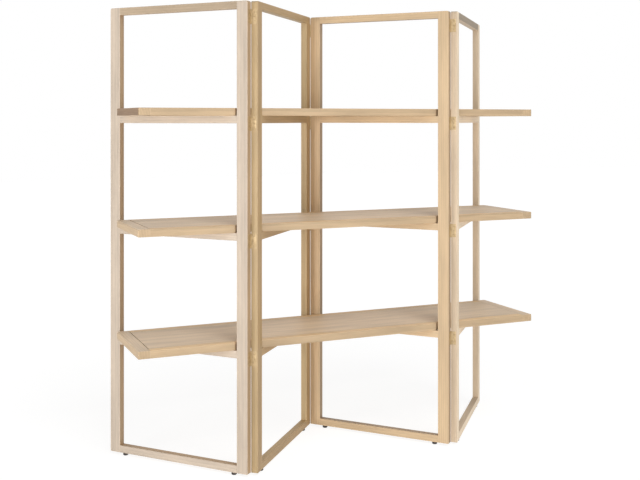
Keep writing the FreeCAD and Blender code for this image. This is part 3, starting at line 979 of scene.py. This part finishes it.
class ETAGERE_OT_model_screws(bpy.types.Operator):
    """Model the hinge screws with their thread, in place of the plain ones"""

    bl_idname = "etagere.model_screws"
    bl_label = "Model Screws"

    def execute(self, context):
        fittings = context.scene.etagere_fittings
        brass = satin_brass(
            "satin_brass_screws", fittings.brass, fittings.dull_brass, SCREW_ROUGHNESS
        )
        pattern = self.make_pattern(fittings)
        # Each screw stopped at its own angle, this many radians on from the one before.
        stop_step = 0.7
        for number in FRAME_TURNS:
            node = f"frame_{number}_hinge_screws"
            shape = bmesh.new()
            for order, (top, outwards) in enumerate(self.find_heads(node, frame_direction(number))):
                first = len(shape.verts)
                shape.from_mesh(pattern)
                shape.verts.ensure_lookup_table()
                stopped_at = Matrix.Rotation(stop_step * order, 4, "Z")
                lying = outwards.to_track_quat("Z", "Y").to_matrix().to_4x4()
                place = Matrix.Translation(top) @ lying @ stopped_at
                bmesh.ops.transform(shape, matrix=place, verts=shape.verts[first:])
            mesh = bpy.data.meshes.new(f"{node}_with_recess")
            shape.to_mesh(mesh)
            shape.free()
            mesh.materials.append(brass)
            screws = bpy.data.objects.new(mesh.name, mesh)
            context.scene.collection.objects.link(screws)
            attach(screws, f"frame_{number}")
            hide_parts(node)
        bpy.data.meshes.remove(pattern)
        return {"FINISHED"}

    def find_heads(self, node, along_frame):
        """The middle of each screw's flat top and the way it faces, from the loose pieces."""
        across = along_frame.cross(UP)
        axes = Matrix((along_frame, across, UP))
        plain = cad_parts[node]
        shape = bmesh.new()
        shape.from_mesh(plain.data)
        bmesh.ops.remove_doubles(shape, verts=shape.verts, dist=CAD_MERGE)
        heads = []
        left = set(shape.verts)
        while left:
            found = [left.pop()]
            for vert in found:
                for edge in vert.link_edges:
                    other = edge.other_vert(vert)
                    if other in left:
                        left.remove(other)
                        found.append(other)
            points = [axes @ (plain.matrix_world @ vert.co) for vert in found]
            low = Vector([min(point[axis] for point in points) for axis in range(3)])
            high = Vector([max(point[axis] for point in points) for axis in range(3)])
            middle = (low + high) / 2
            rim = max(points, key=lambda point: (point - middle).yz.length)
            outwards = 1 if rim.x > middle.x else -1
            top = Vector((high.x if outwards > 0 else low.x, middle.y, middle.z))
            heads.append((axes.transposed() @ top, outwards * along_frame))
        shape.free()
        # Rounded to a hundredth of a millimetre, so that no last digit changes the order.
        return sorted(heads, key=lambda head: tuple(round(value, 5) for value in head[0]))

    def make_pattern(self, fittings):
        """One upright screw, with the middle of its flat top at the origin."""
        shape = bmesh.new()
        corners = self.half_profile(fittings)
        verts = [shape.verts.new((radius, 0.0, height)) for radius, height in corners]
        edges = [shape.edges.new(pair) for pair in zip(verts, verts[1:])]
        bmesh.ops.spin(
            shape,
            geom=[*verts, *edges],
            cent=(0.0, 0.0, 0.0),
            axis=(0.0, 0.0, 1.0),
            angle=math.tau,
            steps=32,
            use_merge=True,
        )
        bmesh.ops.remove_doubles(shape, verts=shape.verts, dist=MERGE)
        open_rim = [edge for edge in shape.edges if edge.is_boundary]
        bmesh.ops.contextual_create(shape, geom=open_rim)
        bmesh.ops.recalc_face_normals(shape, faces=shape.faces)
        self.press_cross(shape, fittings)
        sharp = math.radians(30)
        for face in shape.faces:
            face.smooth = True
        for edge in shape.edges:
            edge.smooth = edge.calc_face_angle(0.0) < sharp
        pattern = bpy.data.meshes.new("screw_pattern")
        shape.to_mesh(pattern)
        shape.free()
        return pattern

    def half_profile(self, fittings):
        """Radius and height of the screw's outline, from the rim of its flat top to its tip.

        Spun round, its thread is a row of rings and not a helix.
        """
        head, crest = fittings.head_radius, fittings.thread_radius
        root = 0.75 * crest
        rounding = 0.15 * MM
        pitch = 1.4 * MM
        plain_shank = 2 * pitch
        # Where the root of each turn of the thread starts and ends, from the crest above it.
        root_start, root_end = 0.3 * pitch, 0.7 * pitch
        outline = [(head - rounding, 0.0), (head, -rounding), (crest, -fittings.head_depth)]
        height = -fittings.head_depth - plain_shank
        outline.append((crest, height))
        tip_start = head - fittings.screw_length
        while height - pitch > tip_start:
            outline += [
                (root, height - root_start),
                (root, height - root_end),
                (crest, height - pitch),
            ]
            height -= pitch
        return [*outline, (root, tip_start), (0.0, -fittings.screw_length)]

    def press_cross(self, shape, fittings):
        """Press the tapering cross into the flat top.

        Known fault: the extruded faces also stay where they were. They close the cross over, so
        that it doesn't show. Deleting them, and the loose edges then left, would open it.
        """
        half, reach = fittings.recess_width / 2, fittings.recess_reach
        # The floor of the cross is this share of its mouth.
        taper = 0.6
        for axis in (Vector((1, 0, 0)), Vector((0, 1, 0))):
            for distance in (-reach, -half, half, reach):
                flat = self.flat_top(shape)
                parts = {part for face in flat for part in (face, *face.edges, *face.verts)}
                bmesh.ops.bisect_plane(
                    shape, geom=list(parts), plane_co=distance * axis, plane_no=axis
                )
        cross = []
        for face in self.flat_top(shape):
            x, y, _ = (abs(value) for value in face.calc_center_median())
            if (x < half and y < reach) or (y < half and x < reach):
                cross.append(face)
        pressed = bmesh.ops.extrude_face_region(shape, geom=cross)["geom"]
        for vert in (part for part in pressed if isinstance(part, bmesh.types.BMVert)):
            vert.co = Vector((taper * vert.co.x, taper * vert.co.y, -fittings.recess_depth))

    def flat_top(self, shape):
        """The faces of the head's flat top."""
        return [
            face for face in shape.faces if all(abs(vert.co.z) < MERGE for vert in face.verts)
        ]


class ETAGERE_OT_finish_glides(bpy.types.Operator):
    """Give the glides under the bottom rails dark moulded nylon"""

    bl_idname = "etagere.finish_glides"
    bl_label = "Finish Glides"

    def execute(self, context):
        nylon = moulded_nylon("moulded_nylon_glides", context.scene.etagere_fittings.glide)
        for number in FRAME_TURNS:
            dress(f"frame_{number}_glides", nylon)
        return {"FINISHED"}


class ETAGERE_OT_set_stage(bpy.types.Operator):
    """Make the floor, the white backdrop, the softboxes and the camera"""

    bl_idname = "etagere.set_stage"
    bl_label = "Set Stage"

    def execute(self, context):
        setup = context.scene.etagere_stage
        self.make_floor(setup)
        self.make_room(context.scene, setup)
        for name, place, power, size in (
            ("main_softbox", setup.softbox_place, setup.softbox_power, setup.softbox_size),
            ("side_softbox", setup.side_place, setup.side_power, setup.softbox_size),
            ("fill_softbox", setup.fill_place, setup.fill_power, setup.softbox_size),
            ("overhead_softbox", setup.overhead_place, setup.overhead_power, setup.overhead_size),
        ):
            self.make_softbox(context.scene, name, place, power, size)
        self.make_camera(context.scene, setup)
        context.scene.view_settings.view_transform = "Standard"
        return {"FINISHED"}

    def make_floor(self, setup):
        """A white floor that keeps the object's faint shadow."""
        mesh = bpy.data.meshes.new("floor")
        shape = bmesh.new()
        bmesh.ops.create_grid(shape, x_segments=1, y_segments=1, size=setup.floor_size / 2)
        shape.to_mesh(mesh)
        shape.free()
        floor = bpy.data.objects.new("floor", mesh)
        bpy.context.scene.collection.objects.link(floor)

        material, tree, output = new_material("white_painted_floor")
        white = with_alpha(srgb("#F2F2F2"))
        paint = add_node(tree, "ShaderNodeBsdfDiffuse", {"Color": white}).outputs[0]
        glow = add_node(tree, "ShaderNodeEmission", {"Strength": 1.2}).outputs[0]
        # Lamps light the floor round the object more, so that there less glow makes it white. The
        # share of glow rises between these two distances from the middle.
        near, far = 1.5, 5.0
        near_share, far_share = 0.72, 0.81
        space = add_node(tree, "ShaderNodeTexCoord", {})
        distance = add_node(
            tree, "ShaderNodeVectorMath", {0: space.outputs["Object"]}, operation="LENGTH"
        ).outputs["Value"]
        white_share = add_node(
            tree,
            "ShaderNodeMapRange",
            {
                "Value": distance,
                "From Min": near,
                "From Max": far,
                "To Min": near_share,
                "To Max": far_share,
            },
        ).outputs["Result"]
        seen = self.seen_rays(tree)
        share = add_node(
            tree,
            "ShaderNodeMapRange",
            {"Value": seen, "To Min": setup.floor_glow, "To Max": white_share},
        ).outputs["Result"]
        surface = add_node(tree, "ShaderNodeMixShader", {0: share, 1: paint, 2: glow}).outputs[0]
        tree.links.new(surface, output.inputs["Surface"])
        mesh.materials.append(material)

    def seen_rays(self, tree):
        """1 for the rays that see the backdrop: straight, in gloss or through glass."""
        path = add_node(tree, "ShaderNodeLightPath", {})
        straight_or_gloss = add_node(
            tree,
            "ShaderNodeMath",
            {0: path.outputs["Is Camera Ray"], 1: path.outputs["Is Glossy Ray"]},
            operation="MAXIMUM",
        ).outputs[0]
        return add_node(
            tree,
            "ShaderNodeMath",
            {0: straight_or_gloss, 1: path.outputs["Is Transmission Ray"]},
            operation="MAXIMUM",
        ).outputs[0]

    def make_room(self, scene, setup):
        """Even pale light from all sides, seen as plain white."""
        world = bpy.data.worlds.new("white_room")
        world.use_nodes = True
        tree = world.node_tree
        tree.nodes.clear()
        output = add_node(tree, "ShaderNodeOutputWorld", {})
        light = add_node(tree, "ShaderNodeBackground", {"Strength": setup.room_level}).outputs[0]
        white = add_node(tree, "ShaderNodeBackground", {"Strength": 1.0}).outputs[0]
        for background in (light, white):
            background.node.inputs["Color"].default_value = (1.0, 1.0, 1.0, 1.0)
        seen = self.seen_rays(tree)
        surface = add_node(tree, "ShaderNodeMixShader", {0: seen, 1: light, 2: white}).outputs[0]
        tree.links.new(surface, output.inputs["Surface"])
        scene.world = world

    def make_softbox(self, scene, name, place, power, size):
        """A square softbox that faces the middle of the object."""
        data = bpy.data.lights.new(name, "AREA")
        data.shape = "SQUARE"
        data.size = size
        data.energy = power
        softbox = bpy.data.objects.new(name, data)
        softbox.location = place
        middle = (CAD_BOX[0] + CAD_BOX[1]) / 2
        softbox.rotation_euler = (middle - softbox.location).to_track_quat("-Z", "Y").to_euler()
        scene.collection.objects.link(softbox)

    def make_camera(self, scene, setup):
        """A level camera, with its picture shifted down as the photograph's horizon asks."""
        data = bpy.data.cameras.new("camera")
        data.sensor_width = SENSOR_WIDTH
        data.lens = setup.focal_length
        data.shift_y = (HORIZON_ROW - IMAGE_HEIGHT / 2) / IMAGE_WIDTH
        camera = bpy.data.objects.new("camera", data)
        camera.location = setup.camera_place
        camera.rotation_euler = Euler((math.radians(90), 0, -setup.camera_turn))
        scene.collection.objects.link(camera)
        scene.camera = camera


OPERATORS = (
    ETAGERE_OT_finish_posts,
    ETAGERE_OT_finish_rails,
    ETAGERE_OT_finish_shelf_borders,
    ETAGERE_OT_finish_shelf_panels,
    ETAGERE_OT_finish_hinges,
    ETAGERE_OT_model_screws,
    ETAGERE_OT_finish_glides,
    ETAGERE_OT_set_stage,
)


class ETAGERE_PT_panel(bpy.types.Panel):
    """Sidebar panel with the etagere's settings and steps"""

    bl_idname = "ETAGERE_PT_panel"
    bl_label = "Folding Etagere"
    bl_space_type = "VIEW_3D"
    bl_region_type = "UI"
    bl_category = "Etagere"

    def draw(self, context):
        scene = context.scene
        for settings in (scene.etagere_wood, scene.etagere_fittings, scene.etagere_stage):
            box = self.layout.box()
            for name in settings.bl_rna.properties.keys():
                if name not in ("rna_type", "name"):
                    box.prop(settings, name)
        for operator in OPERATORS:
            self.layout.operator(operator.bl_idname)


SETTINGS = (EtagereWood, EtagereFittings, EtagereStage)


def register():
    for cls in (*SETTINGS, *OPERATORS, ETAGERE_PT_panel):
        bpy.utils.register_class(cls)
    bpy.types.Scene.etagere_wood = bpy.props.PointerProperty(type=EtagereWood)
    bpy.types.Scene.etagere_fittings = bpy.props.PointerProperty(type=EtagereFittings)
    bpy.types.Scene.etagere_stage = bpy.props.PointerProperty(type=EtagereStage)


def unregister():
    del bpy.types.Scene.etagere_stage
    del bpy.types.Scene.etagere_fittings
    del bpy.types.Scene.etagere_wood
    for cls in reversed((*SETTINGS, *OPERATORS, ETAGERE_PT_panel)):
        bpy.utils.unregister_class(cls)


def main():
    register()
    bpy.ops.etagere.finish_posts()
    bpy.ops.etagere.finish_rails()
    bpy.ops.etagere.finish_shelf_borders()
    bpy.ops.etagere.finish_shelf_panels()
    bpy.ops.etagere.finish_hinges()
    bpy.ops.etagere.model_screws()
    bpy.ops.etagere.finish_glides()
    bpy.ops.etagere.set_stage()


if __name__ == "__main__":
    main()
